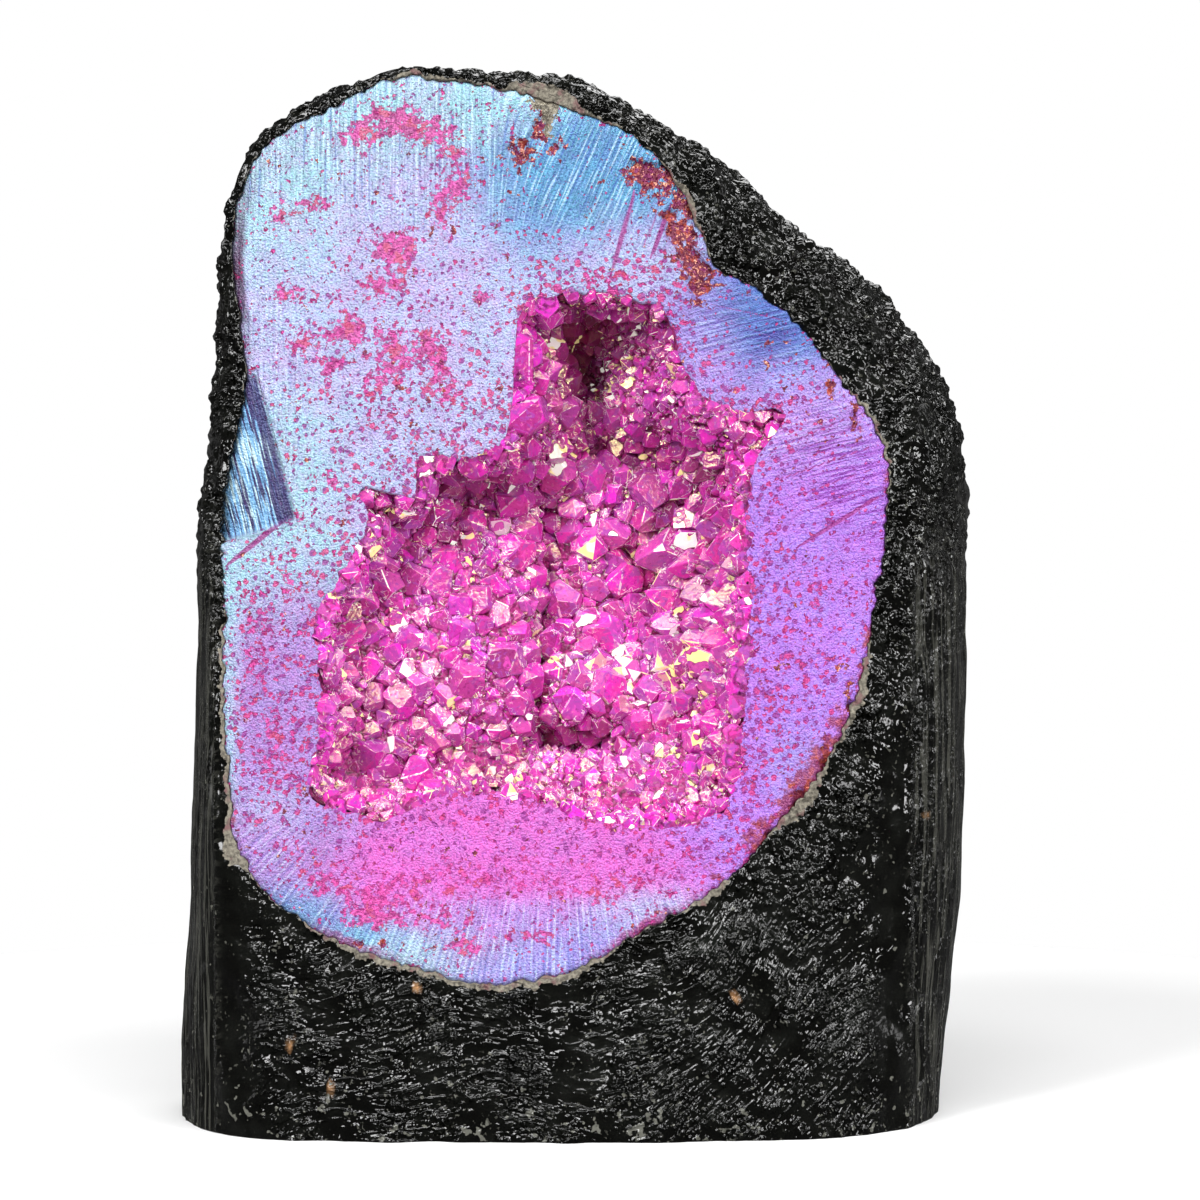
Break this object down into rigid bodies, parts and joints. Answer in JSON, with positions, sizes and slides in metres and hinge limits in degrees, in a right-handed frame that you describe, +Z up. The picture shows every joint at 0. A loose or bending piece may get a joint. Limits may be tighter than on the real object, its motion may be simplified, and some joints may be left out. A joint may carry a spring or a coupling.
{
  "type": "aura quartz cut-base geode",
  "caption": "Upright cut-base geode: a ground quartz face with a metallic pastel sheen, a hollow lined with magenta points, and a black painted jacket with a flat base.",
  "frame": {"origin": "middle of the bounding box at the level of the flat base", "axes": "+Z up, -Y out of the ground face, which leans back from it by twelve degrees, +X to the right as one looks at the face"},
  "size_m": [0.1364, 0.0988, 0.1787],
  "materials": {
    "black_paint": "gloss black paint over gritty, rippled cement",
    "coated_face": "sawn and ground quartz under a thin metallic coating, pale blue to violet with magenta pits",
    "coated_points": "bright magenta coated quartz points with gold and white glints"
  },
  "bodies": {
    "root": {"cement_jacket": "black_paint", "quartz_wall": "coated_face", "crystal_crust": "coated_points"}
  },
  "joints": []
}
